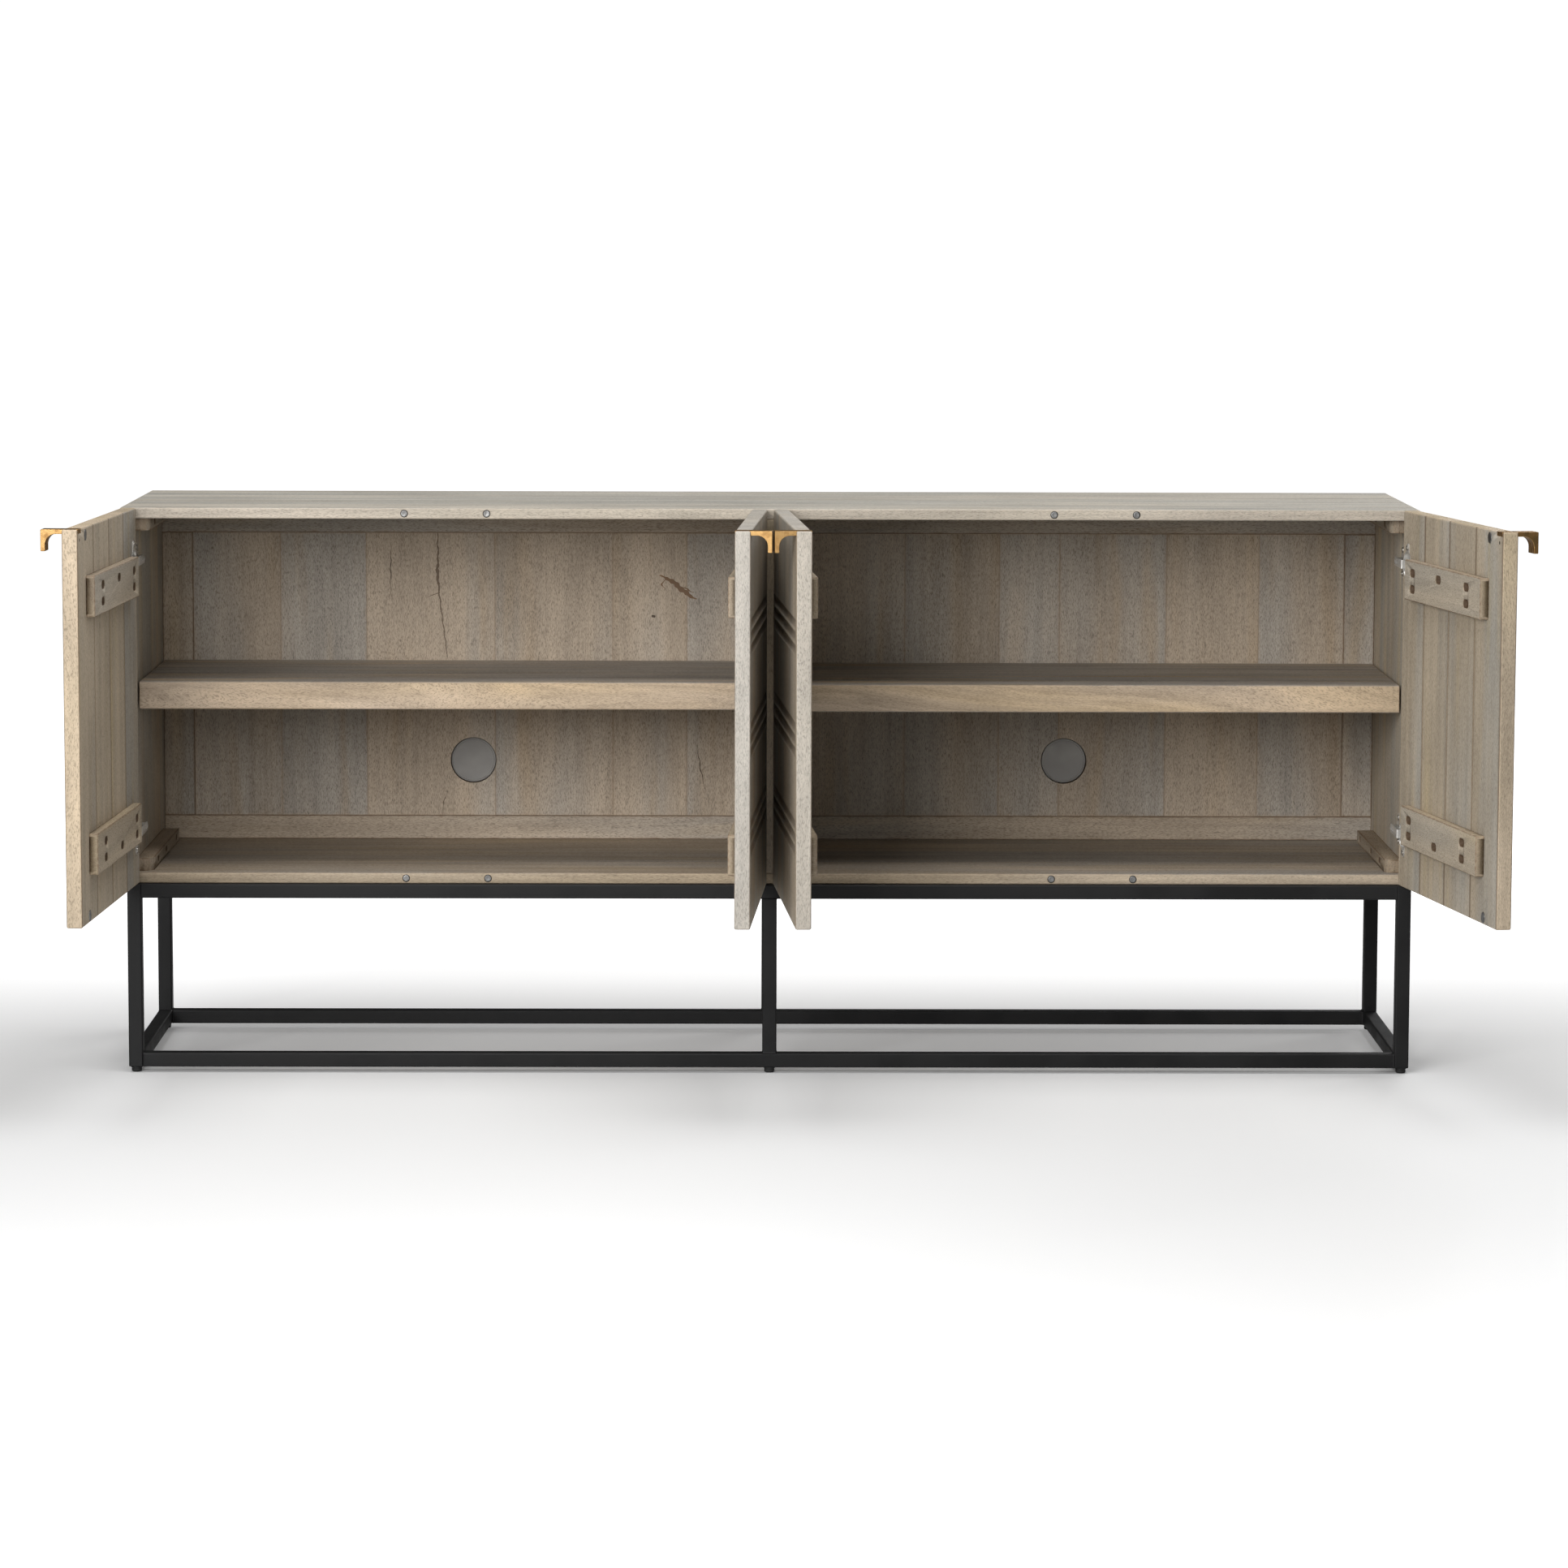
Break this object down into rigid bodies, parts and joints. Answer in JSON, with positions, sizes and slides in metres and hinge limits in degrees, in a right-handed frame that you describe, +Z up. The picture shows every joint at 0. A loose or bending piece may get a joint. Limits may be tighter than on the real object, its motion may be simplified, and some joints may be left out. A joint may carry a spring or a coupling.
{
  "type": "sideboard buffet",
  "caption": "Low wooden sideboard on an open iron base, with hinged doors over shelved bays and small angle pulls.",
  "frame": {"origin": "underside of the glide below the front middle leg, on the floor", "axes": "+X along the length to the viewer's right, +Y towards the back, +Z up"},
  "size_m": [1.9496, 0.8497, 0.79],
  "materials": {
    "body_wood": "grey-beige washed, matt, open grain",
    "door_wood": "grey-beige washed, matt, open grain",
    "shelf_wood": "grey-beige washed, matt",
    "back_wood": "grey-beige washed planks of mixed tone",
    "batten_wood": "grey-beige washed, matt",
    "black_iron": "satin black powder coat",
    "black_glide": "matt black",
    "grey_plastic": "moulded, fine matt",
    "antique_brass": "brushed antique brass",
    "nickel_steel": "nickel plated, satin",
    "zinc_steel": "zinc plated",
    "catch_steel": "plain"
  },
  "bodies": {
    "cabinet": {"back_bottom_rail": "back_wood", "back_panel_left": "back_wood", "back_panel_right": "back_wood", "back_stile_centre": "back_wood", "back_stile_left": "back_wood", "back_stile_right": "back_wood", "back_top_rail": "back_wood", "bottom_board": "body_wood", "cabinet_screws": "zinc_steel", "cable_plugs": "grey_plastic", "catch_magnets": "catch_steel", "cleats": "batten_wood", "divider": "body_wood", "glides": "black_glide", "hinge_arms": "nickel_steel", "hinge_plates": "nickel_steel", "leg_back_left": "black_iron", "leg_back_middle": "black_iron", "leg_back_right": "black_iron", "leg_front_left": "black_iron", "leg_front_middle": "black_iron", "leg_front_right": "black_iron", "rail_back_bottom": "black_iron", "rail_back_top": "black_iron", "rail_front_bottom": "black_iron", "rail_front_top": "black_iron", "rail_left_bottom": "black_iron", "rail_left_top": "black_iron", "rail_right_bottom": "black_iron", "rail_right_top": "black_iron", "shelf_left": "shelf_wood", "shelf_pins": "nickel_steel", "shelf_right": "shelf_wood", "side_panel_left": "body_wood", "side_panel_right": "body_wood", "top_board": "body_wood"},
    "door_1": {"door_1_battens": "batten_wood", "door_1_catch_discs": "catch_steel", "door_1_hinge_cups": "nickel_steel", "door_1_panel": "door_wood", "door_1_pull": "antique_brass", "door_1_screws": "zinc_steel"},
    "door_2": {"door_2_battens": "batten_wood", "door_2_catch_discs": "catch_steel", "door_2_hinge_cups": "nickel_steel", "door_2_panel": "door_wood", "door_2_pull": "antique_brass", "door_2_screws": "zinc_steel"},
    "door_3": {"door_3_battens": "batten_wood", "door_3_catch_discs": "catch_steel", "door_3_hinge_cups": "nickel_steel", "door_3_panel": "door_wood", "door_3_pull": "antique_brass", "door_3_screws": "zinc_steel"},
    "door_4": {"door_4_battens": "batten_wood", "door_4_catch_discs": "catch_steel", "door_4_hinge_cups": "nickel_steel", "door_4_panel": "door_wood", "door_4_pull": "antique_brass", "door_4_screws": "zinc_steel"}
  },
  "joints": [
    {"name": "door_1_hinge", "type": "hinge", "parent": "cabinet", "child": "door_1", "pos_m": [-0.889, -0.016, 0.528], "axis": [0, 0, 1], "range_deg": [-9.9, 93.1]},
    {"name": "door_2_hinge", "type": "hinge", "parent": "cabinet", "child": "door_2", "pos_m": [-0.0119, -0.019, 0.528], "axis": [0, 0, 1], "range_deg": [-87, 0]},
    {"name": "door_3_hinge", "type": "hinge", "parent": "cabinet", "child": "door_3", "pos_m": [0.0119, -0.019, 0.528], "axis": [0, 0, 1], "range_deg": [0, 86.5]},
    {"name": "door_4_hinge", "type": "hinge", "parent": "cabinet", "child": "door_4", "pos_m": [0.889, -0.016, 0.528], "axis": [0, 0, 1], "range_deg": [-99.6, 3.4]}
  ]
}
